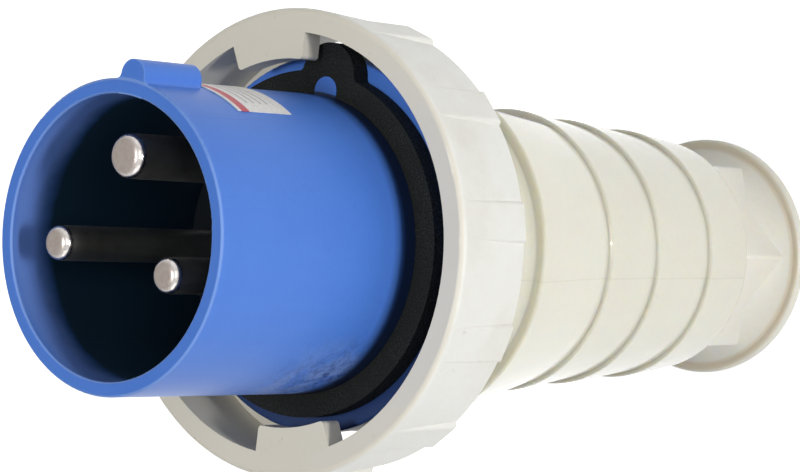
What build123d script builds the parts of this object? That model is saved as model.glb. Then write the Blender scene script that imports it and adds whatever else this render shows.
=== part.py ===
from build123d import *
import os
from math import cos, radians, sin, tan

# Industrial pin and sleeve plug, two poles and earth, with a bayonet locking ring and a cable gland.
# Millimetres. +Z runs along the plug's axis towards the pins, +X passes through the key,
# and the origin is the centre of the gland nut's rear face, on which the plug stands.

# Fits
face_gap = 0.05          # between parts that slide into one another and stay there
running_gap = 0.3        # radial, locking ring on the handle
thread_gap = 0.1         # radial, gland nut on the handle's rear spigot

# Gland nut, thrust washer and cable seal
nut_height = 27.1
nut_flange_radius = 33.4
nut_flange_height = 3.6
nut_rim_round = 1.5
nut_lip_width = 2.2
nut_neck_radius = 24.6
nut_flare_height = 13.0
hex_corner_radius = 29.0
hex_corner_round = 1.2
hex_turn = 40.5          # degrees from +X to a corner of the hexagon
nut_floor = 5.0
cable_hole_radius = 16.0
cable_hole_round = 2.0
washer_thickness = 2.5
seal_bore_radius = 14.0
seal_length = 16.4
seal_mouth_chamfer = 1.5

# Handle
nut_to_handle = 0.5
spigot_radius = 21.5     # rear spigot, under the gland nut
spigot_setback = 1.9     # from the seal's rear face to the end of the spigot
seal_seat_radius = 18.5
seal_ledge_thickness = 6.0
ledge_bore_radius = 15.0
grip_lengths = (21.0, 26.0, 23.0, 35.5)        # grip sections, rear to front
grip_front_steps = (-1.6, -0.3, 1.1, 6.9)      # radii, against the foot of the shroud
grip_rear_steps = (-3.8, -2.7, -1.4, 0.1)
grip_edge_round = 0.7
grip_rear_round = 1.2
chamber_rear_step = 9.6  # chamber's rear radius inside the foot of the shroud
chamber_ledge = 3.9      # step inwards from the front's spigot to the chamber
chamber_flare = 11.0
collar_step = 4.4        # collar outside the foot of the shroud
collar_length = 14.5
collar_wall = 3.6
back_flange_height = 5.0 # above the collar
back_flange_thickness = 7.0
ring_seat_length = 7.5
label_flat_rear_depth = 1.65
label_flat_front_depth = 5.0
boss_radius = 4.5
boss_length = 24.0

# Blue front: shroud, flange and the socket spigot behind it
flange_width = 9.4       # outside the foot of the shroud
flange_thickness = 6.0
shroud_length = 67.5
shroud_radius = 35.0     # outside, at the rim
shroud_draft = 0.5       # degrees
shroud_wall = 3.4
rim_round = 0.6
web_thickness = 5.0
plug_spigot_length = 11.8
plug_spigot_wall = 4.4
oring_section_radius = 0.9
oring_groove_height = 2.4
oring_inset = 5.0        # from the flange to the middle of the groove
key_width = 7.3
key_height = 4.6
key_length = 18.0
key_base_round = 1.4
nub_width = 6.9
nub_height = 4.5

# Face gasket on the flange
gasket_width = 5.6
gasket_thickness = 5.0
gasket_ear_radius = 8.2
gasket_ear_overhang = 3.2    # past the flange's edge
gasket_corner_round = 1.2

# Locking ring
ring_length = 24.5
ring_clearance = 1.5     # radial, round the gasket's ear
ring_rim_wall = 5.8
ring_skirt_wall = 4.3
ring_rim_round = 1.4
ring_float = 1.0
ring_turn = 17.0         # degrees from +X to the first lug and rib
rib_count = 12
rib_inset = 0.15         # ribs inside the front rim's radius
rib_width = 8.6
rib_side_slope = 1.3
rib_round = 0.8
lug_count = 2
lug_height = 6.3
lug_thickness = 5.5
lug_angle = 27.0
lug_round = 1.0
window_rim = 1.6

# Contacts, their carrier and the plate that traps them
pin_circle_inset = 13.3  # from the shroud's bore to the pin circle
pin_recess = 1.0         # pin tips behind the rim
pin_tip_round = 2.0
pin_shank_step = 0.4     # the shank in the carrier is this much thicker than the rod
line_angle = 105.0       # from the earth pin to each of the other two
earth_radius = 5.0
line_radius = 4.0
terminal_wall = 2.6
wire_bore_radius = 4.2
wire_bore_depth = 24.0
terminal_length = 26.0   # behind the retainer
pin_collar_step = 1.5
pin_collar_thickness = 3.0
terminal_screw_radius = 2.5
terminal_screw_length = 6.0
terminal_screw_spacing = 10.0
terminal_screw_inset = 7.0
slot_width = 0.9
slot_depth = 1.2
carrier_floor_thickness = 10.5
retainer_thickness = 10.0
clamp_screw_radius = 2.0
clamp_head_radius = 3.8
clamp_head_height = 3.0
retainer_screw_inset = 6.6   # from the shroud's bore to the screw circle
retainer_screw_angles = (38.0, -38.0, 180.0)
retainer_screw_length = 22.0
front_screw_inset = 5.6
front_screw_angles = (70.0, 150.0, -150.0, -70.0)
front_screw_grip = 16.0  # length of screw in each boss

# Labels
label_thickness = 0.2
rating_label_angle = 41.0
rating_label_length = 17.0
rating_label_gap = 0.6      # from the key to the label's front edge
rating_label_turn = -5.0    # degrees from the key to the label's middle
handle_label_margin = 1.5

# Levels along the axis
handle_rear = nut_height + nut_to_handle
shoulder = handle_rear + sum(grip_lengths)
back_flange_rear = shoulder + collar_length
back_flange_front = back_flange_rear + back_flange_thickness
handle_front = back_flange_front + ring_seat_length
flange_front = handle_front + flange_thickness
rim = flange_front + shroud_length
web_top = handle_front + web_thickness
plug_spigot_rear = handle_front - plug_spigot_length
carrier_floor = web_top + carrier_floor_thickness
retainer_rear = handle_front - retainer_thickness
terminal_rear = retainer_rear - terminal_length
terminal_screw_rear = terminal_rear + terminal_screw_inset
terminal_screw_levels = (terminal_screw_rear, terminal_screw_rear + terminal_screw_spacing)
ring_rear = back_flange_front + ring_float
ring_front = ring_rear + ring_length
ring_flange_front = handle_front - ring_float
seal_rear = nut_floor + washer_thickness + 2 * face_gap
spigot_rear = seal_rear + spigot_setback
seal_ledge = seal_rear + seal_length + face_gap
rating_label_inset = key_length + rating_label_gap

# Radii that follow from their neighbours
shroud_bore = shroud_radius - shroud_wall
shroud_slope = tan(radians(shroud_draft))
shroud_base_radius = shroud_radius + shroud_length * shroud_slope
flange_radius = shroud_base_radius + flange_width
gasket_radius = shroud_base_radius + gasket_width
gasket_ear_reach = flange_radius + gasket_ear_overhang
collar_radius = shroud_base_radius + collar_step
grip_front_radii = [shroud_base_radius + step for step in grip_front_steps]
grip_rear_radii = [shroud_base_radius + step for step in grip_rear_steps]
chamber_rear_radius = shroud_base_radius - chamber_rear_step
carrier_radius = shroud_bore - face_gap
plug_spigot_radius = collar_radius - collar_wall
plug_socket_radius = plug_spigot_radius + face_gap
plug_spigot_bore = plug_spigot_radius - plug_spigot_wall
chamber_front_radius = plug_spigot_radius - chamber_ledge
back_flange_radius = collar_radius + back_flange_height
pin_circle_radius = shroud_bore - pin_circle_inset
retainer_screw_circle = shroud_bore - retainer_screw_inset
front_screw_circle = shroud_bore - front_screw_inset
ring_bore_radius = gasket_ear_reach + ring_clearance
ring_radius = ring_bore_radius + ring_rim_wall
ring_rear_radius = ring_bore_radius + ring_skirt_wall
rib_radius = ring_radius - rib_inset
lug_radius = ring_bore_radius - lug_height
retainer_radius = plug_spigot_bore - face_gap
washer_radius = spigot_radius - face_gap
pins = {
    "earth": (earth_radius, 0.0),
    "line": (line_radius, line_angle),
    "neutral": (line_radius, -line_angle),
}


def polar(radius, degrees):
    """A point on a circle about the plug's axis."""
    return (radius * cos(radians(degrees)), radius * sin(radians(degrees)))


def corners(profile, *points):
    """The profile's vertices nearest to the given points."""
    return [profile.vertices().sort_by_distance((*point, 0))[0] for point in points]


def sector(level, inner, outer, centre, angle):
    """A flat piece of a ring, between two radii, centred on an angle."""
    with BuildSketch(Plane.XY.offset(level)) as piece:
        with BuildLine():
            near = CenterArc((0, 0), inner, centre - angle / 2, angle)
            far = CenterArc((0, 0), outer, centre - angle / 2, angle)
            Line(near @ 0, far @ 0)
            Line(near @ 1, far @ 1)
        make_face()
    return piece.sketch


def round_tab(level, width, reach):
    """A tab from the axis along +X with a half-round end."""
    with BuildSketch(Plane.XY.offset(level)) as tab:
        with Locations((reach - width / 2, 0)):
            Circle(width / 2)
        Rectangle(reach - width / 2, width, align=(Align.MIN, Align.CENTER))
    return tab.sketch


retainer_screw_places = [polar(retainer_screw_circle, angle) for angle in retainer_screw_angles]
front_screw_places = [polar(front_screw_circle, angle) for angle in front_screw_angles]

# Gland nut: hexagon running into a flared flange
with BuildPart() as gland_nut:
    with BuildSketch(Plane.XY.offset(nut_flange_height)):
        RegularPolygon(hex_corner_radius, 6, rotation=hex_turn)
    extrude(amount=nut_height - nut_flange_height)
    fillet(gland_nut.edges().filter_by(Axis.Z), hex_corner_round)
    with BuildSketch(Plane.XZ) as nut_profile:
        with BuildLine():
            flare_foot = (nut_flange_radius - nut_lip_width, nut_flange_height)
            flare_top = (nut_neck_radius, nut_flange_height + nut_flare_height)
            RadiusArc(flare_foot, flare_top, nut_flare_height)
            Polyline(flare_top, (nut_neck_radius, nut_height), (0, nut_height), (0, 0),
                     (nut_flange_radius, 0))
            Polyline((nut_flange_radius, 0), (nut_flange_radius, nut_flange_height), flare_foot)
        make_face()
        rim_corners = corners(nut_profile, (nut_flange_radius, 0), (nut_flange_radius, nut_flange_height))
        fillet(rim_corners, nut_rim_round)
    revolve(axis=Axis.Z)
    with Locations((0, 0, nut_floor)):
        Cylinder(spigot_radius + thread_gap, nut_height, align=(Align.CENTER, Align.CENTER, Align.MIN),
                 mode=Mode.SUBTRACT)
    Cylinder(cable_hole_radius, 2 * nut_floor, mode=Mode.SUBTRACT)
    mouth = gland_nut.edges().filter_by(GeomType.CIRCLE).group_by(Axis.Z)[0].sort_by(SortBy.RADIUS)[0]
    fillet(mouth, cable_hole_round)
gland_nut.part.label = "gland_nut"

# Thrust washer between the nut and the seal
with BuildPart() as gland_washer:
    with BuildSketch(Plane.XY.offset(nut_floor + face_gap)):
        Circle(washer_radius)
        Circle(cable_hole_radius, mode=Mode.SUBTRACT)
    extrude(amount=washer_thickness)
gland_washer.part.label = "gland_washer"

# Rubber seal that grips the cable
with BuildPart() as gland_seal:
    with BuildSketch(Plane.XY.offset(seal_rear)):
        Circle(seal_seat_radius - face_gap)
        Circle(seal_bore_radius, mode=Mode.SUBTRACT)
    extrude(amount=seal_length)
    seal_rims = gland_seal.edges().filter_by(GeomType.CIRCLE).sort_by(SortBy.RADIUS)
    chamfer(seal_rims[:2], seal_mouth_chamfer)
gland_seal.part.label = "gland_seal"

# Handle: stepped tapering grip, collar, back flange and the neck on which the locking ring turns
with BuildPart() as handle_housing:
    outline = [(spigot_radius, spigot_rear), (spigot_radius, handle_rear)]
    grip_edges = []
    level = handle_rear
    for length, rear_radius, front_radius in zip(grip_lengths, grip_rear_radii, grip_front_radii):
        outline += [(rear_radius, level), (front_radius, level + length)]
        level += length
        grip_edges.append((front_radius, level))
    outline += [(collar_radius, shoulder), (collar_radius, back_flange_rear)]
    outline += [(back_flange_radius, back_flange_rear), (back_flange_radius, back_flange_front)]
    outline += [(collar_radius, back_flange_front), (collar_radius, handle_front)]
    outline += [(plug_socket_radius, handle_front), (plug_socket_radius, plug_spigot_rear - face_gap)]
    outline += [(chamber_front_radius, plug_spigot_rear - face_gap)]
    outline += [(chamber_front_radius, plug_spigot_rear - boss_length)]
    chamber_floor = seal_ledge + seal_ledge_thickness
    outline += [(chamber_rear_radius, chamber_floor + chamber_flare), (ledge_bore_radius, chamber_floor)]
    outline += [(ledge_bore_radius, seal_ledge), (seal_seat_radius, seal_ledge)]
    outline += [(seal_seat_radius, spigot_rear)]
    with BuildSketch(Plane.XZ) as handle_profile:
        with BuildLine():
            Polyline(*outline, close=True)
        make_face()
        fillet(corners(handle_profile, *grip_edges), grip_edge_round)
        fillet(corners(handle_profile, (grip_rear_radii[0], handle_rear)), grip_rear_round)
    revolve(axis=Axis.Z)
    # Flat for the label on the front grip section, under the key
    flat_rear = shoulder - grip_lengths[-1]
    flat_low = grip_rear_radii[-1] - label_flat_rear_depth
    flat_high = grip_front_radii[-1] - label_flat_front_depth
    with BuildSketch(Plane.XZ):
        with BuildLine():
            Polyline((flat_low, flat_rear), (flat_high, shoulder), (2 * flat_high, shoulder),
                     (2 * flat_high, flat_rear), close=True)
        make_face()
    extrude(amount=grip_front_radii[-1], both=True, mode=Mode.SUBTRACT)
    # Bosses for the front screws, joined to the wall
    with BuildSketch(Plane.XY.offset(plug_spigot_rear - boss_length)):
        for angle in front_screw_angles:
            with Locations(polar(front_screw_circle, angle)):
                Circle(boss_radius)
            with Locations(Location((0, 0), angle)):
                with Locations((front_screw_circle, 0)):
                    Rectangle(chamber_front_radius - front_screw_circle + face_gap, 2 * boss_radius,
                              align=(Align.MIN, Align.CENTER))
        with Locations(*front_screw_places):
            Circle(clamp_screw_radius + face_gap, mode=Mode.SUBTRACT)
    extrude(amount=boss_length - 2 * face_gap)
handle_housing.part.label = "handle_housing"

# Clear label on the handle's flat
with BuildPart() as handle_label:
    flat_plane = Plane(origin=(flat_low, 0, flat_rear), x_dir=(0, 1, 0),
                       z_dir=(grip_lengths[-1], 0, flat_low - flat_high))
    flat_length = ((flat_high - flat_low) ** 2 + grip_lengths[-1] ** 2) ** 0.5
    rear_half = (grip_rear_radii[-1] ** 2 - flat_low ** 2) ** 0.5 - handle_label_margin
    front_half = (grip_front_radii[-1] ** 2 - flat_high ** 2) ** 0.5 - handle_label_margin
    with BuildSketch(flat_plane.offset(face_gap)) as handle_label_shape:
        with BuildLine():
            Polyline((-rear_half, handle_label_margin), (rear_half, handle_label_margin),
                     (front_half, flat_length - handle_label_margin),
                     (-front_half, flat_length - handle_label_margin), close=True)
        make_face()
        fillet(handle_label_shape.vertices(), handle_label_margin)
    extrude(amount=label_thickness)
handle_label.part.label = "handle_label"

# Blue front moulding: shroud, key, flange, and the spigot that plugs into the handle
with BuildPart() as front_shroud:
    groove_radius = plug_socket_radius - 2 * oring_section_radius - face_gap
    groove_top = handle_front - oring_inset + oring_groove_height / 2
    groove_bottom = groove_top - oring_groove_height
    with BuildSketch(Plane.XZ) as shroud_profile:
        with BuildLine():
            Polyline((0, handle_front), (plug_spigot_bore, handle_front),
                     (plug_spigot_bore, plug_spigot_rear), (plug_spigot_radius, plug_spigot_rear),
                     (plug_spigot_radius, groove_bottom),
                     (groove_radius, groove_bottom), (groove_radius, groove_top),
                     (plug_spigot_radius, groove_top), (plug_spigot_radius, handle_front),
                     (flange_radius, handle_front), (flange_radius, flange_front),
                     (shroud_base_radius, flange_front), (shroud_radius, rim), (shroud_bore, rim),
                     (shroud_bore, web_top), (0, web_top), close=True)
        make_face()
        fillet(corners(shroud_profile, (shroud_radius, rim), (shroud_bore, rim)), rim_round)
        fillet(corners(shroud_profile, (flange_radius, flange_front)), rim_round)
    revolve(axis=Axis.Z)
    key_face = round_tab(rim - key_length, key_width, shroud_radius + key_height)
    nub_face = round_tab(flange_front, nub_width, shroud_base_radius + nub_height)
    extrude(key_face, amount=key_length)
    extrude(nub_face, amount=gasket_thickness)
    # Clear the bore again where the key and the nub start from the axis
    with Locations((0, 0, web_top)):
        Cylinder(shroud_bore, shroud_length + flange_thickness,
                 align=(Align.CENTER, Align.CENTER, Align.MIN), mode=Mode.SUBTRACT)
    for rod_radius, angle in pins.values():
        with Locations((*polar(pin_circle_radius, angle), handle_front)):
            Cylinder(rod_radius + pin_shank_step + face_gap, 4 * web_thickness, mode=Mode.SUBTRACT)
    with Locations(*[(*place, handle_front) for place in retainer_screw_places + front_screw_places]):
        Cylinder(clamp_screw_radius + face_gap, 4 * web_thickness, mode=Mode.SUBTRACT)
    key_end = (shroud_radius + key_height, 0, rim - key_length)
    key_rear = front_shroud.faces().filter_by(Axis.Z).sort_by_distance(key_end)[0]
    fillet(key_rear.edges().filter_by(GeomType.CIRCLE).sort_by(Axis.X)[-1:], rim_round)
    # Hollow fillets along the key's foot, from the rim to just short of its rounded rear
    foot_length = key_length - 2 * rim_round
    mid_wall = shroud_radius - shroud_wall / 2
    hollow_y = key_width / 2 + key_base_round
    hollow_x = ((shroud_radius + key_base_round) ** 2 - hollow_y ** 2) ** 0.5
    foot_x = hollow_x * shroud_radius / (shroud_radius + key_base_round)
    foot_y = hollow_y * shroud_radius / (shroud_radius + key_base_round)
    with BuildSketch(Plane.XY.offset(rim - foot_length)):
        with BuildLine():
            Polyline((mid_wall, 0), (hollow_x, 0), (hollow_x, key_width / 2))
            TangentArc((hollow_x, key_width / 2), (foot_x, foot_y), tangent=(-1, 0))
            Polyline((foot_x, foot_y), (mid_wall, foot_y), (mid_wall, 0))
        foot_half = make_face()
        mirror(foot_half, about=Plane.XZ)
    extrude(amount=foot_length)
front_shroud.part.label = "front_shroud"

# Seal between the front's spigot and the handle
with BuildPart() as spigot_oring:
    with BuildSketch(Plane.XZ):
        with Locations((groove_radius + oring_section_radius + face_gap / 2, handle_front - oring_inset)):
            Circle(oring_section_radius)
    revolve(axis=Axis.Z)
spigot_oring.part.label = "spigot_oring"

# Foam-rubber face gasket with an ear round the nub
with BuildPart() as face_gasket:
    with BuildSketch(Plane.XY.offset(flange_front)) as gasket_face:
        Circle(gasket_radius)
        with Locations((gasket_ear_reach - gasket_ear_radius, 0)):
            Circle(gasket_ear_radius)
        fillet(gasket_face.vertices(), gasket_corner_round)
        Circle(shroud_base_radius + face_gap, mode=Mode.SUBTRACT)
    extrude(amount=gasket_thickness)
    slot_reach = shroud_base_radius + nub_height + 2 * face_gap
    extrude(round_tab(flange_front, nub_width + 4 * face_gap, slot_reach), amount=gasket_thickness,
            mode=Mode.SUBTRACT)
face_gasket.part.label = "face_gasket"

# Paper rating label behind the key, left blank
with BuildPart() as rating_label:
    label_top = rim - rating_label_inset
    label_low = label_top - rating_label_length
    inner_top = shroud_radius + rating_label_inset * shroud_slope + face_gap
    inner_low = inner_top + rating_label_length * shroud_slope
    label_start = Plane.XZ.rotated((0, 0, rating_label_turn - rating_label_angle / 2))
    with BuildSketch(label_start):
        with BuildLine():
            Polyline((inner_low, label_low), (inner_low + label_thickness, label_low),
                     (inner_top + label_thickness, label_top), (inner_top, label_top), close=True)
        make_face()
    revolve(axis=Axis.Z, revolution_arc=rating_label_angle)
rating_label.part.label = "rating_label"

# One grip rib of the locking ring, at +X
with BuildPart() as ring_rib:
    rib_root = ring_bore_radius + (ring_rear_radius - ring_bore_radius) / 2
    rib_half = rib_width / 2
    with BuildSketch(Plane.XY.offset(ring_rear + ring_rim_round)):
        with BuildLine():
            Polyline((rib_root, -rib_half - rib_side_slope), (rib_radius, -rib_half), (rib_radius, rib_half),
                     (rib_root, rib_half + rib_side_slope), close=True)
        make_face()
    extrude(amount=ring_length - 2 * ring_rim_round)
    rib_edges = ring_rib.faces().sort_by(Axis.X)[-1].edges().group_by(Axis.Z)
    fillet(rib_edges[0] + rib_edges[1], rib_round)

# One bayonet lug of the locking ring, at +X, flush with the ring's front
with BuildPart() as ring_lug:
    extrude(sector(ring_front - lug_thickness, lug_radius, ring_bore_radius + window_rim, 0, lug_angle),
            amount=lug_thickness)
    fillet(ring_lug.edges().filter_by(Axis.Z).sort_by(Axis.X)[:2], lug_round)

# Bayonet locking ring: stout front rim, tapering skirt with grip ribs, inner flange behind the blue flange
with BuildPart() as locking_ring:
    with BuildSketch(Plane.XZ) as ring_profile:
        with BuildLine():
            Polyline((collar_radius + running_gap, ring_rear), (ring_rear_radius, ring_rear),
                     (ring_radius, ring_front), (ring_bore_radius, ring_front),
                     (ring_bore_radius, ring_flange_front), (collar_radius + running_gap, ring_flange_front),
                     close=True)
        make_face()
        outer_rims = corners(ring_profile, (ring_radius, ring_front), (ring_rear_radius, ring_rear))
        fillet(outer_rims, ring_rim_round)
    revolve(axis=Axis.Z)
    for rib in range(rib_count):
        add(ring_rib.part.rotate(Axis.Z, ring_turn + rib * 360 / rib_count))
    for lug in range(lug_count):
        centre = ring_turn + lug * 360 / lug_count
        add(ring_lug.part.rotate(Axis.Z, centre))
        # Window in the inner flange behind the lug, left by the mould's core
        window_inner = collar_radius + running_gap + window_rim
        window = sector(ring_rear, window_inner, ring_bore_radius, centre, lug_angle)
        extrude(window, amount=ring_flange_front - ring_rear, mode=Mode.SUBTRACT)
locking_ring.part.label = "locking_ring"

# Black contact carrier on the floor of the shroud, round the pins
with BuildPart() as contact_carrier:
    with BuildSketch(Plane.XY.offset(web_top)):
        Circle(carrier_radius)
    extrude(amount=carrier_floor_thickness)
    for rod_radius, angle in pins.values():
        with Locations((*polar(pin_circle_radius, angle), carrier_floor)):
            Hole(rod_radius + pin_shank_step + face_gap)
    with Locations(*[(*place, carrier_floor) for place in front_screw_places]):
        CounterBoreHole(clamp_screw_radius + face_gap, clamp_head_radius + face_gap, clamp_head_height)
    with Locations(*[(*place, retainer_rear) for place in retainer_screw_places]):
        Cylinder(clamp_screw_radius + face_gap, retainer_screw_length + face_gap,
                 align=(Align.CENTER, Align.CENTER, Align.MIN), mode=Mode.SUBTRACT)
contact_carrier.part.label = "contact_carrier"

# Plate that traps the pins' collars against the front moulding
with BuildPart() as pin_retainer:
    with BuildSketch(Plane.XY.offset(retainer_rear)):
        Circle(retainer_radius)
        with Locations(*retainer_screw_places, *front_screw_places):
            Circle(clamp_screw_radius + face_gap, mode=Mode.SUBTRACT)
        for rod_radius, angle in pins.values():
            with Locations(polar(pin_circle_radius, angle)):
                Circle(rod_radius + terminal_wall + face_gap, mode=Mode.SUBTRACT)
    extrude(amount=retainer_thickness)
    for rod_radius, angle in pins.values():
        with BuildSketch(Plane.XY.offset(handle_front)):
            with Locations(polar(pin_circle_radius, angle)):
                Circle(rod_radius + terminal_wall + pin_collar_step + face_gap)
        extrude(amount=-pin_collar_thickness - face_gap, mode=Mode.SUBTRACT)
pin_retainer.part.label = "pin_retainer"


def slotted_screw(head_radius, head_height, shank_radius, shank_length):
    """A slotted screw along -Z, with the underside of its head at the origin."""
    with BuildPart() as screw:
        Cylinder(shank_radius, shank_length, align=(Align.CENTER, Align.CENTER, Align.MAX))
        Cylinder(head_radius, head_height, align=(Align.CENTER, Align.CENTER, Align.MIN))
        with Locations((0, 0, head_height)):
            Box(2 * head_radius, slot_width, 2 * slot_depth, mode=Mode.SUBTRACT)
    return screw.part


def make_pin(name, rod_radius, angle):
    """A contact pin with its collar and wire terminal, standing on the pin circle."""
    barrel = rod_radius + terminal_wall
    collar = barrel + pin_collar_step
    shank = rod_radius + pin_shank_step
    collar_rear = handle_front - pin_collar_thickness
    tip = rim - pin_recess
    with BuildPart() as pin:
        with BuildSketch(Plane.XZ) as pin_profile:
            with BuildLine():
                Polyline((0, terminal_rear), (barrel, terminal_rear), (barrel, collar_rear),
                         (collar, collar_rear), (collar, handle_front),
                         (shank, handle_front), (shank, carrier_floor), (rod_radius, carrier_floor),
                         (rod_radius, tip), (0, tip), close=True)
            make_face()
            fillet(corners(pin_profile, (rod_radius, tip)), pin_tip_round)
        revolve(axis=Axis.Z)
        with Locations((0, 0, terminal_rear)):
            Cylinder(wire_bore_radius, wire_bore_depth, align=(Align.CENTER, Align.CENTER, Align.MIN),
                     mode=Mode.SUBTRACT)
        for level in terminal_screw_levels:
            with Locations(Location((0, 0, level), (0, 90, 0))):
                Cylinder(terminal_screw_radius + face_gap, 2 * barrel,
                         align=(Align.CENTER, Align.CENTER, Align.MIN), mode=Mode.SUBTRACT)
    placed = pin.part.moved(Location((pin_circle_radius, 0, 0))).rotate(Axis.Z, angle)
    placed.label = name
    return placed


def make_terminal_screws(name, angle):
    """The two headless slotted screws of one terminal, set radially, up to the wire bore."""
    outer = pin_circle_radius + wire_bore_radius + terminal_screw_length
    grub_screw = slotted_screw(terminal_screw_radius, slot_depth, terminal_screw_radius,
                               terminal_screw_length - slot_depth)
    with BuildPart() as screws:
        for level in terminal_screw_levels:
            with Locations(Location((outer - slot_depth, 0, level), (0, 90, 0))):
                add(grub_screw)
    placed = screws.part.rotate(Axis.Z, angle)
    placed.label = name
    return placed


contacts = []
for pole, (rod_radius, angle) in pins.items():
    contacts.append(make_pin(pole + "_pin", rod_radius, angle))
    contacts.append(make_terminal_screws(pole + "_terminal_screws", angle))

# Screws that hold the retainer and the carrier to the front moulding, driven from behind
with BuildPart() as retainer_screws:
    retainer_screw = slotted_screw(clamp_head_radius, clamp_head_height, clamp_screw_radius,
                                   retainer_screw_length)
    for place in retainer_screw_places:
        with Locations(Location((*place, retainer_rear), (180, 0, 0))):
            add(retainer_screw)
retainer_screws.part.label = "retainer_screws"

# Long screws from inside the shroud into the handle's bosses
with BuildPart() as front_screws:
    head_seat = carrier_floor - clamp_head_height
    front_screw = slotted_screw(clamp_head_radius, clamp_head_height, clamp_screw_radius,
                                head_seat - plug_spigot_rear + front_screw_grip)
    for place in front_screw_places:
        with Locations((*place, head_seat)):
            add(front_screw)
front_screws.part.label = "front_screws"

os.makedirs("parts", exist_ok=True)
pieces = [gland_nut, gland_washer, gland_seal, handle_housing, handle_label, front_shroud, spigot_oring,
          face_gasket, rating_label, locking_ring, contact_carrier, pin_retainer, retainer_screws,
          front_screws]
for piece in [builder.part for builder in pieces] + contacts:
    export_step(piece, "parts/" + piece.label + ".step")
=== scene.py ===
import math

import bpy
from mathutils import Matrix, Vector


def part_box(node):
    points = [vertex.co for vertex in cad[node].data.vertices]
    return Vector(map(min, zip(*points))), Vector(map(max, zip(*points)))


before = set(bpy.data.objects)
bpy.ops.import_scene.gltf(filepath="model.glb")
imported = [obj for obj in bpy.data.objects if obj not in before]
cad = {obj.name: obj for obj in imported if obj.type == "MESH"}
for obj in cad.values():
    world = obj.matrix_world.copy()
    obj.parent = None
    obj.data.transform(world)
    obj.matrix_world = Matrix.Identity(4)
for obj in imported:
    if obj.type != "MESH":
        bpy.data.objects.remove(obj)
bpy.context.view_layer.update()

MM = 0.001
MICRON = 0.000001

# Directions in the photograph: the key sits a little in front of the top of the picture
KEY_TURN = math.radians(10.5)
SIDE = Vector((math.sin(KEY_TURN), -math.cos(KEY_TURN), 0))
TOP = Vector((math.cos(KEY_TURN), math.sin(KEY_TURN), 0))
NOSE = Vector((0, 0, 1))

# Places along the plug
RIM = Vector((0, 0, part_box("front_shroud")[1].z))
MIDDLE = RIM / 2
GASKET_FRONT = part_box("face_gasket")[1].z
RING_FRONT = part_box("locking_ring")[1].z
PIN_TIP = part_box("earth_pin")[1].z
LABEL_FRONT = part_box("rating_label")[1].z

# Distances from the plug's axis
NUT_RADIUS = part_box("gland_nut")[1].x
RING_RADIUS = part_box("locking_ring")[1].x
RING_INSIDE = RING_RADIUS - 5.4 * MM
SHROUD_RADIUS = 35 * MM
SHROUD_BORE = 31.6 * MM
SHROUD_INSIDE = SHROUD_BORE + 0.4 * MM
WALL_MIDDLE = 33 * MM
FLANGE_START = 36.4 * MM

# Camera, fitted to the photograph: two directions and its place from the middle of the rim, for photo_axes
VIEW_DIRECTION = (-0.6465, 0.0070, -0.7629)
PICTURE_RIGHT = (0.7628, 0.0273, -0.6461)
CAMERA_FROM_RIM = (0.4165, -0.0019, 0.3925)
LENS = 117
SENSOR_WIDTH = 36
CLIP_START = 0.01
CLIP_END = 100

# Floor, clear of the undone nut: its glow grows from the near distance to the far one
FLOOR_SIZE = 30
NUT_TRAVEL = 8 * MM
FLOOR_GAP = 0.2 * MM
NEAR_FLOOR = 0.4
FAR_FLOOR = 3.0
NEAR_GLOW = 0.8
FAR_GLOW = 1.0

# Light from all round, as a share of the white that is seen
AMBIENT = 0.1


def photo_axes(side, top, nose):
    """A vector from its parts towards the picture's right-hand front, its top and the plug's nose."""
    return SIDE * side + TOP * top + NOSE * nose


def srgb(red, green, blue):
    """A colour given as it shows on screen, 0 to 255."""
    screen = (red / 255, green / 255, blue / 255)
    return tuple(c / 12.92 if c <= 0.04045 else ((c + 0.055) / 1.055) ** 2.4 for c in screen)


class Nodes:
    """Short ways to add nodes to a tree and wire them."""

    def __init__(self, tree):
        self.tree = tree

    def node(self, kind, **values):
        made = self.tree.nodes.new(kind)
        for name, value in values.items():
            setattr(made, name, value)
        return made

    def plug(self, socket, value):
        if isinstance(value, bpy.types.NodeSocket):
            self.tree.links.new(value, socket)
        elif isinstance(value, tuple) and len(value) == 3 and socket.type == "RGBA":
            socket.default_value = (*value, 1)
        else:
            socket.default_value = value

    def math(self, operation, a, b=0.0, clamp=False):
        made = self.node("ShaderNodeMath", operation=operation, use_clamp=clamp)
        self.plug(made.inputs[0], a)
        self.plug(made.inputs[1], b)
        return made.outputs[0]

    def times(self, value, *factors):
        for factor in factors:
            value = self.math("MULTIPLY", value, factor)
        return value

    def remap(self, value, low, high, to_low=0.0, to_high=1.0):
        made = self.node("ShaderNodeMapRange", clamp=True)
        for socket, number in zip(made.inputs[:5], (value, low, high, to_low, to_high)):
            self.plug(socket, number)
        return made.outputs[0]

    def fade(self, value, start, end):
        """1 up to start, falling to 0 at end."""
        return self.remap(value, start, end, 1.0, 0.0)

    def band(self, value, centre, half, soft):
        """1 where value is within half of centre, falling to 0 over soft."""
        away = self.math("ABSOLUTE", self.math("SUBTRACT", value, centre))
        return self.fade(away, half, half + soft)

    def seen(self):
        """1 for rays from the camera or off shiny and clear surfaces, 0 for those that light the scene."""
        path = self.node("ShaderNodeLightPath")
        mirrored = self.math("MAXIMUM", path.outputs["Is Glossy Ray"], path.outputs["Is Transmission Ray"])
        return self.math("MAXIMUM", path.outputs["Is Camera Ray"], mirrored)


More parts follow.
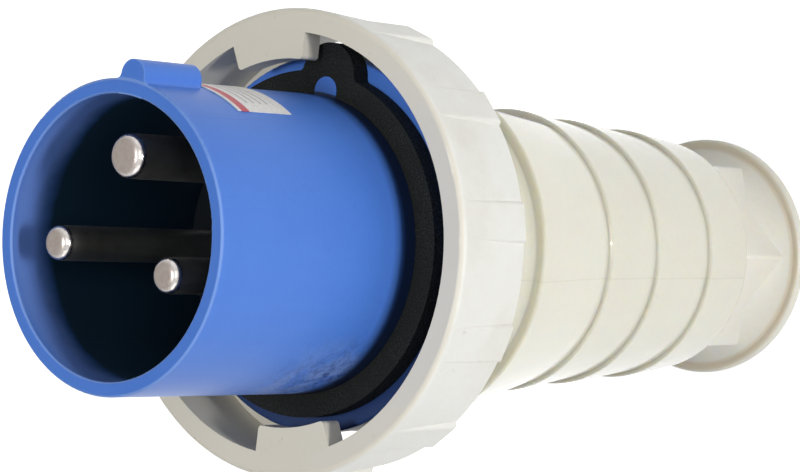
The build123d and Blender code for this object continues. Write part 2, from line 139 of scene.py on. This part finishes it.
class Shader(Nodes):
    """A principled material whose textures lie in the row frame, in metres."""

    def __init__(self, name, metallic=0.0):
        self.material = bpy.data.materials.new(name)
        self.material.use_nodes = True
        super().__init__(self.material.node_tree)
        self.principled = self.tree.nodes["Principled BSDF"]
        self.set("Metallic", metallic)
        self.place = self.node("ShaderNodeTexCoord").outputs["Object"]
        apart = self.node("ShaderNodeSeparateXYZ")
        self.plug(apart.inputs[0], self.place)
        self.x, self.y, self.z = apart.outputs

    def set(self, name, value):
        self.plug(self.principled.inputs[name], value)

    def from_axis(self):
        """Distance from the plug's axis."""
        return self.math("SQRT", self.math("ADD", self.times(self.x, self.x), self.times(self.y, self.y)))

    def stretched(self, scale):
        made = self.node("ShaderNodeMapping")
        self.plug(made.inputs["Vector"], self.place)
        made.inputs["Scale"].default_value = scale
        return made.outputs[0]

    def noise(self, scale, detail=3.0, roughness=0.5, vector=None, distortion=0.0):
        made = self.node("ShaderNodeTexNoise")
        self.plug(made.inputs["Vector"], vector or self.place)
        made.inputs["Scale"].default_value = scale
        made.inputs["Detail"].default_value = detail
        made.inputs["Roughness"].default_value = roughness
        made.inputs["Distortion"].default_value = distortion
        return made.outputs["Fac"]

    def blend(self, share, a, b):
        made = self.node("ShaderNodeMix", data_type="RGBA")
        self.plug(made.inputs[0], share)
        self.plug(made.inputs[6], a)
        self.plug(made.inputs[7], b)
        return made.outputs[2]

    def tint(self, base, colour, mask, most=1.0):
        """base with colour laid over it, to the share most where mask is 1."""
        return self.blend(self.times(mask, most), base, colour)

    def softened(self, radius):
        """A normal that rounds edges and corners over radius."""
        made = self.node("ShaderNodeBevel", samples=6)
        made.inputs["Radius"].default_value = radius
        return made.outputs[0]

    def edges(self, radius, flat, sharp):
        """0 on faces and 1 along edges, by how well a normal rounded over radius agrees with the true one."""
        agree = self.node("ShaderNodeVectorMath", operation="DOT_PRODUCT")
        self.plug(agree.inputs[0], self.softened(radius))
        self.plug(agree.inputs[1], self.node("ShaderNodeNewGeometry").outputs["Normal"])
        return self.remap(agree.outputs["Value"], flat, sharp)

    def bump(self, height, distance, strength=1.0, normal=None):
        made = self.node("ShaderNodeBump")
        self.plug(made.inputs["Height"], height)
        made.inputs["Distance"].default_value = distance
        made.inputs["Strength"].default_value = strength
        if normal is not None:
            self.plug(made.inputs["Normal"], normal)
        return made.outputs[0]


def moulded(name, colour, shade, roughness, grain, edge=None):
    """Moulded plastic: cloudy colour, fine grain, a few handling marks and uneven gloss."""
    made = Shader(name)
    cloud = made.remap(made.noise(24, detail=4, roughness=0.6), 0.35, 0.7)
    fleck = made.remap(made.noise(700, detail=3, roughness=0.6), 0.5, 0.75, to_high=0.3)
    share = made.math("ADD", made.times(cloud, 0.45), fleck, clamp=True)
    made.colour = made.blend(share, colour, shade)
    made.set("Base Color", made.colour)
    gloss = made.remap(cloud, 0, 1, roughness - 0.03, roughness + 0.05)
    marks = made.remap(made.noise(140, detail=5, roughness=0.7, distortion=1.2), 0.6, 0.75, to_high=0.04)
    made.set("Roughness", made.math("ADD", gloss, marks))
    rounded = made.softened(edge) if edge else None
    surface = made.math("ADD", made.noise(1500, detail=2), made.noise(160, detail=2))
    made.normal = made.bump(surface, grain, normal=rounded)
    made.set("Normal", made.normal)
    return made


def translucent(made, weight, depth):
    """Lets light bleed a little into pale plastic, red the farthest."""
    made.set("Subsurface Weight", weight)
    made.set("Subsurface Radius", (1.0, 0.75, 0.4))
    made.set("Subsurface Scale", depth)


def seam(made, degrees, half, depth):
    """Raises the mould-parting lines in the plane through the axis at that angle, and returns their mask."""
    angle = math.radians(degrees)
    off = made.math("SUBTRACT", made.times(made.x, math.sin(angle)), made.times(made.y, math.cos(angle)))
    line = made.band(off, 0.0, half, half)
    made.set("Normal", made.bump(line, depth, strength=0.6, normal=made.normal))
    return line


def ivory_plastic():
    """The handle: glossy, parted at the sides of the key, its edges rounded in the shading."""
    made = moulded("ivory_plastic", srgb(221, 219, 203), srgb(213, 210, 192),
                   roughness=0.18, grain=10 * MICRON, edge=1.5 * MM)
    parting = seam(made, degrees=-90, half=0.09 * MM, depth=0.06 * MM)
    made.set("Base Color", made.tint(made.colour, srgb(186, 176, 148), parting, most=0.22))
    made.set("Specular IOR Level", 0.15)
    made.set("Coat Weight", 0.6)
    made.set("Coat Roughness", 0.06)
    translucent(made, weight=0.6, depth=3 * MM)
    return made


def nut_plastic():
    """The gland nut: paler, with a tan line of painted shade inside the edge of its flange, where the flare
    curves in.
    """
    made = moulded("nut_plastic", srgb(237, 235, 226), srgb(228, 225, 211), roughness=0.34, grain=20 * MICRON)
    # Painted shade: the tan line stands in for the shading of the concave flare inside the flange's edge.
    line = made.band(made.from_axis(), NUT_RADIUS - 1.8 * MM, half=0.8 * MM, soft=0.6 * MM)
    made.set("Base Color", made.tint(made.colour, srgb(214, 200, 172), line, most=0.6))
    translucent(made, weight=0.5, depth=3 * MM)
    return made


def ring_plastic():
    """The ring: off-white, lightly stained and spotted, yellower on its front and inside."""
    made = moulded("ring_plastic", srgb(231, 231, 226), srgb(223, 221, 212),
                   roughness=0.38, grain=30 * MICRON)
    stain = made.remap(made.noise(38, detail=4, roughness=0.6), 0.5, 0.75)
    front = made.remap(made.z, RING_FRONT - 0.8 * MM, RING_FRONT - 0.2 * MM)
    inside = made.fade(made.from_axis(), RING_INSIDE - 0.1 * MM, RING_INSIDE + 0.1 * MM)
    spots = made.remap(made.noise(260, detail=4, roughness=0.75), 0.66, 0.74)
    colour = made.tint(made.colour, srgb(198, 188, 166), stain, most=0.3)
    colour = made.tint(colour, srgb(222, 215, 196), front, most=0.8)
    colour = made.tint(colour, srgb(222, 216, 198), inside, most=0.8)
    made.set("Base Color", made.tint(colour, srgb(172, 160, 138), spots, most=0.5))
    return made


def edge_wear_and_highlight(made, colour, radius):
    """The shroud's colour with paler edges at the rim, and at the key and other corners: wear and painted
    edge highlight.
    """
    at_rim = made.remap(made.z, RIM.z - 0.7 * MM, RIM.z - 0.2 * MM)
    outer = made.band(radius, SHROUD_RADIUS - 0.1 * MM, half=0.2 * MM, soft=0.3 * MM)
    inner = made.band(radius, SHROUD_BORE + 0.1 * MM, half=0.1 * MM, soft=0.2 * MM)
    # Wear and painted highlight: the rim's rounded edges made paler, as where they catch the light.
    rim_edges = made.times(at_rim, made.math("ADD", outer, inner, clamp=True))
    colour = made.tint(colour, srgb(156, 186, 232), rim_edges, most=0.4)
    ahead = made.remap(made.z, GASKET_FRONT, GASKET_FRONT + 20 * MM)
    # Wear and painted highlight along the key's and other corners, convex and concave alike.
    corners = made.times(made.edges(0.7 * MM, flat=0.985, sharp=0.93), ahead)
    return made.tint(colour, srgb(140, 174, 230), corners, most=0.35)


def foot_dirt_and_shade(made, colour, radius):
    """The shroud's colour with smears below its foot, painted shadow round it where the ring shades the wall,
    and a lower flange darkened with painted shade.
    """
    upward = made.math("ADD", made.times(made.x, TOP.x), made.times(made.y, TOP.y))
    outside = made.times(made.remap(radius, WALL_MIDDLE, WALL_MIDDLE + 0.5 * MM),
                         made.fade(radius, FLANGE_START - 0.4 * MM, FLANGE_START))
    smeared = made.times(outside, made.fade(upward, -31 * MM, -20 * MM),
                         made.fade(made.z, GASKET_FRONT + 12 * MM, GASKET_FRONT + 34 * MM))
    pale = made.remap(made.noise(70, detail=5, roughness=0.6, distortion=1.0), 0.46, 0.6)
    dark = made.remap(made.noise(420, detail=8, roughness=0.8, distortion=1.5), 0.48, 0.58)
    # Painted shadow: the wall darkened just ahead of the gasket, where the ring casts its shadow.
    painted_ring_shadow = made.times(outside, made.fade(made.z, GASKET_FRONT + 3 * MM, GASKET_FRONT + 7.5 * MM))
    # Painted shade: the flange beyond the shroud's foot darkened towards the bottom.
    low_flange = made.times(made.remap(radius, FLANGE_START, FLANGE_START + 0.4 * MM),
                            made.fade(upward, -12 * MM, 8 * MM))
    colour = made.tint(colour, srgb(150, 172, 220), made.times(smeared, pale), most=0.55)
    colour = made.tint(colour, srgb(40, 64, 140), made.times(smeared, dark), most=0.85)
    # The painted shadow and the painted shade laid over the smears.
    colour = made.tint(colour, srgb(12, 18, 30), painted_ring_shadow, most=0.92)
    return made.tint(colour, srgb(22, 34, 66), low_flange, most=0.85)


def inside_painted_light_and_shade(made, colour, radius):
    """The shroud's colour with painted shade deep inside, laid on as a dark film, and a pale band of painted
    light where that shade ends, near the rim.
    """
    inside = made.fade(radius, SHROUD_INSIDE - 0.1 * MM, SHROUD_INSIDE + 0.1 * MM)
    waver = made.remap(made.noise(45, detail=4, roughness=0.6), 0.3, 0.7, -1.5 * MM, 1.5 * MM)
    along = made.math("ADD", made.z, waver)
    # Painted light: a pale band where the lit wall gives way to the dark deep inside.
    painted_pale_light = made.times(inside, made.band(along, RIM.z - 5.5 * MM, half=3 * MM, soft=3 * MM))
    # Painted shade: the wall deep inside made near black, as a dark film.
    film = made.times(inside, made.fade(along, RIM.z - 12.5 * MM, RIM.z - 6.5 * MM))
    colour = made.tint(colour, srgb(150, 156, 176), painted_pale_light, most=0.22)
    return made.tint(colour, srgb(20, 40, 46), film, most=0.96)


def blue_plastic():
    """The shroud: satin blue with faint flow streaks, wear and dirt, painted highlights on its edges, painted
    shade at its foot and deep inside, and a band of painted light inside the rim.
    """
    made = moulded("blue_plastic", srgb(80, 129, 218), srgb(71, 119, 208), roughness=0.38, grain=20 * MICRON)
    made.set("Specular IOR Level", 0.22)
    radius = made.from_axis()
    flow = made.noise(60, detail=4, roughness=0.6, vector=made.stretched((1, 1, 0.12)))
    colour = made.tint(made.colour, srgb(84, 134, 219), made.remap(flow, 0.5, 0.72), most=0.3)
    colour = edge_wear_and_highlight(made, colour, radius)
    colour = foot_dirt_and_shade(made, colour, radius)
    made.set("Base Color", inside_painted_light_and_shade(made, colour, radius))
    seam(made, degrees=-30, half=0.1 * MM, depth=0.08 * MM)
    return made


def black_plastic():
    """The carrier and the retainer."""
    made = moulded("black_plastic", srgb(17, 22, 28), srgb(10, 13, 18), roughness=0.5, grain=30 * MICRON)
    made.set("Specular IOR Level", 0.15)
    return made


def black_rubber():
    """Foam rubber: fine paler specks in black, on a pitted surface."""
    made = Shader("black_rubber")
    pores = made.noise(2600, detail=3, roughness=0.75)
    patch = made.remap(made.noise(120, detail=3, roughness=0.6), 0.35, 0.7, to_low=0.35)
    specks = made.times(made.remap(pores, 0.5, 0.68), patch)
    made.set("Base Color", made.blend(specks, srgb(8, 10, 10), srgb(56, 62, 60)))
    made.set("Specular IOR Level", 0.25)
    made.set("Roughness", made.remap(pores, 0.3, 0.7, to_low=0.9, to_high=0.65))
    made.set("Normal", made.bump(pores, 0.15 * MM))
    return made


def white_nylon():
    """The gland's washer."""
    return moulded("white_nylon", srgb(228, 227, 220), srgb(214, 212, 202), roughness=0.4, grain=20 * MICRON)


def nickel_plate():
    """The pins: fine turned grain, uneven tarnish, polished tips with dull, scuffed ends."""
    made = Shader("nickel_plate", metallic=1.0)
    turned = made.noise(1400, detail=3, roughness=0.6, vector=made.stretched((0.4, 0.4, 3)))
    tarnish = made.remap(made.noise(90, detail=4, roughness=0.6), 0.4, 0.7)
    tip = made.remap(made.z, PIN_TIP - 2.4 * MM, PIN_TIP - 1.8 * MM)
    end_face = made.remap(made.z, PIN_TIP - 0.5 * MM, PIN_TIP - 0.1 * MM)
    scuffs = made.remap(made.noise(800, detail=5, roughness=0.7), 0.45, 0.7, to_high=0.4)
    scuffed = made.times(tip, scuffs)
    colour = made.blend(tarnish, srgb(188, 186, 182), srgb(158, 155, 150))
    colour = made.tint(colour, srgb(206, 201, 197), tip)
    colour = made.tint(colour, srgb(156, 147, 141), end_face)
    made.set("Base Color", made.tint(colour, srgb(128, 112, 100), scuffed))
    grain = made.remap(turned, 0.3, 0.7, to_low=0.3, to_high=0.42)
    polish = made.times(made.math("SUBTRACT", tip, end_face), -0.14)
    made.set("Roughness", made.math("ADD", grain, polish))
    surface = made.math("ADD", turned, made.times(scuffed, 0.6))
    made.set("Normal", made.bump(surface, 15 * MICRON))
    return made


def zinc_steel():
    """The screws."""
    made = Shader("zinc_steel", metallic=1.0)
    plated = made.noise(900, detail=4, roughness=0.6)
    dulled = made.remap(plated, 0.4, 0.65)
    made.set("Base Color", made.blend(dulled, srgb(196, 198, 200), srgb(150, 150, 146)))
    made.set("Roughness", made.remap(plated, 0.35, 0.7, to_low=0.28, to_high=0.5))
    made.set("Normal", made.bump(plated, 20 * MICRON))
    return made


def paper_label():
    """White paper with a red band along its front edge and plain grey rules in place of print."""
    made = Shader("paper_label")
    fibre = made.noise(1200, detail=4, roughness=0.7)
    sheet = made.blend(made.remap(fibre, 0.4, 0.7), srgb(236, 235, 233), srgb(222, 220, 216))
    red_band = made.band(made.z, LABEL_FRONT - 2.2 * MM, half=1.2 * MM, soft=0.1 * MM)
    ruled_length = made.band(made.z, LABEL_FRONT - 9.5 * MM, half=4.8 * MM, soft=0.2 * MM)
    ruled_width = made.band(made.y, -3.2 * MM, half=8.5 * MM, soft=0.2 * MM)
    to_next_rule = made.math("PINGPONG", made.z, 1.1 * MM)
    rules = made.times(ruled_length, ruled_width, made.band(to_next_rule, 0.0, half=0.25 * MM, soft=0.1 * MM))
    printed = made.tint(sheet, srgb(150, 152, 156), rules, most=0.7)
    made.set("Base Color", made.tint(printed, srgb(188, 70, 84), red_band))
    made.set("Roughness", made.remap(fibre, 0.4, 0.7, to_low=0.42, to_high=0.58))
    made.set("Normal", made.bump(fibre, 20 * MICRON))
    return made


def film_label():
    """Smooth pale film, faintly violet."""
    made = Shader("film_label")
    sheen = made.noise(70, detail=3, roughness=0.5)
    violet = made.remap(sheen, 0.35, 0.65)
    made.set("Base Color", made.blend(violet, srgb(214, 212, 222), srgb(200, 199, 228)))
    made.set("Roughness", made.remap(sheen, 0.3, 0.7, to_low=0.12, to_high=0.24))
    made.set("Normal", made.bump(made.noise(500, detail=2), 10 * MICRON))
    return made


def glowing_floor():
    """Pale floor, lifted to white where it is seen, so that only a faint shadow shows on it."""
    made = Shader("floor")
    made.set("Base Color", srgb(236, 236, 236))
    made.set("Roughness", 0.9)
    made.set("Specular IOR Level", 0.0)
    glow = made.node("ShaderNodeEmission")
    level = made.remap(made.from_axis(), NEAR_FLOOR, FAR_FLOOR, NEAR_GLOW, FAR_GLOW)
    made.plug(glow.inputs["Strength"], made.times(made.seen(), level))
    total = made.node("ShaderNodeAddShader")
    made.plug(total.inputs[0], made.principled.outputs[0])
    made.plug(total.inputs[1], glow.outputs[0])
    made.plug(made.tree.nodes["Material Output"].inputs["Surface"], total.outputs[0])
    return made.material


def softbox(name, direction, distance, width, height, power):
    """A lamp facing the middle of the plug, its height along the picture's upright."""
    lamp = bpy.data.lights.new(name, "AREA")
    lamp.shape = "RECTANGLE"
    lamp.size = width
    lamp.size_y = height
    lamp.energy = power
    holder = bpy.data.objects.new(name, lamp)
    bpy.context.scene.collection.objects.link(holder)
    towards = direction.normalized()
    level = TOP.cross(towards).normalized()
    turn = Matrix((level, towards.cross(level), towards)).transposed().to_4x4()
    holder.matrix_world = Matrix.Translation(MIDDLE + towards * distance) @ turn


# Materials of the pieces
finishes = [
    (ivory_plastic(), ["handle_housing"]),
    (nut_plastic(), ["gland_nut"]),
    (ring_plastic(), ["locking_ring"]),
    (blue_plastic(), ["front_shroud"]),
    (black_plastic(), ["contact_carrier", "pin_retainer"]),
    (black_rubber(), ["face_gasket", "spigot_oring", "gland_seal"]),
    (white_nylon(), ["gland_washer"]),
    (nickel_plate(), ["earth_pin", "line_pin", "neutral_pin"]),
    (zinc_steel(), ["earth_terminal_screws", "line_terminal_screws", "neutral_terminal_screws",
                    "retainer_screws", "front_screws"]),
    (paper_label(), ["rating_label"]),
    (film_label(), ["handle_label"]),
]
for finish, names in finishes:
    for name in names:
        cad[name].data.materials.clear()
        cad[name].data.materials.append(finish.material)

# Floor, just below the gland nut when that is undone
bpy.ops.mesh.primitive_plane_add(size=FLOOR_SIZE, location=(0, 0, -NUT_TRAVEL - FLOOR_GAP))
floor = bpy.context.object
floor.name = "floor"
floor.data.materials.append(glowing_floor())

# World: faint even light, white where it is seen or mirrored
world = bpy.data.worlds.new("studio")
bpy.context.scene.world = world
world.use_nodes = True
sky = Nodes(world.node_tree)
background = world.node_tree.nodes["Background"]
sky.plug(background.inputs["Color"], (1, 1, 1))
sky.plug(background.inputs["Strength"], sky.remap(sky.seen(), 0, 1, to_low=AMBIENT))

# Lamps, in metres and watts
softbox("key_light", photo_axes(1.0, 0.0, 0.2), distance=1.2, width=0.12, height=0.12, power=3.1)
softbox("strip_light", photo_axes(1.0, 0.0, 0.2), distance=1.25, width=0.08, height=0.45, power=3.2)
softbox("fill_light", photo_axes(0.72, 0.1, 0.7), distance=1.4, width=0.5, height=0.7, power=3.3)
softbox("top_light", photo_axes(0.3, 1.0, 0.4), distance=1.1, width=0.8, height=0.8, power=0.6)
softbox("bounce_light", photo_axes(0.35, -1.0, 0.4), distance=1.2, width=0.9, height=0.9, power=2.3)
softbox("front_light", photo_axes(0.05, 0.0, 1.0), distance=1.6, width=0.3, height=0.3, power=9.6)
softbox("rear_light", photo_axes(-0.9, 0.1, -0.2), distance=1.3, width=1.0, height=1.0, power=4.2)

# Camera at the photograph's viewing angle
forward = photo_axes(*VIEW_DIRECTION).normalized()
right = photo_axes(*PICTURE_RIGHT)
across = (right - forward * right.dot(forward)).normalized()
upright = across.cross(forward)
camera = bpy.data.objects.new("camera", bpy.data.cameras.new("camera"))
bpy.context.scene.collection.objects.link(camera)
camera.data.sensor_width = SENSOR_WIDTH
camera.data.lens = LENS
camera.data.clip_start = CLIP_START
camera.data.clip_end = CLIP_END
facing = Matrix((across, upright, -forward)).transposed().to_4x4()
camera.matrix_world = Matrix.Translation(RIM + photo_axes(*CAMERA_FROM_RIM)) @ facing
bpy.context.scene.camera = camera

bpy.context.scene.view_settings.view_transform = "Standard"
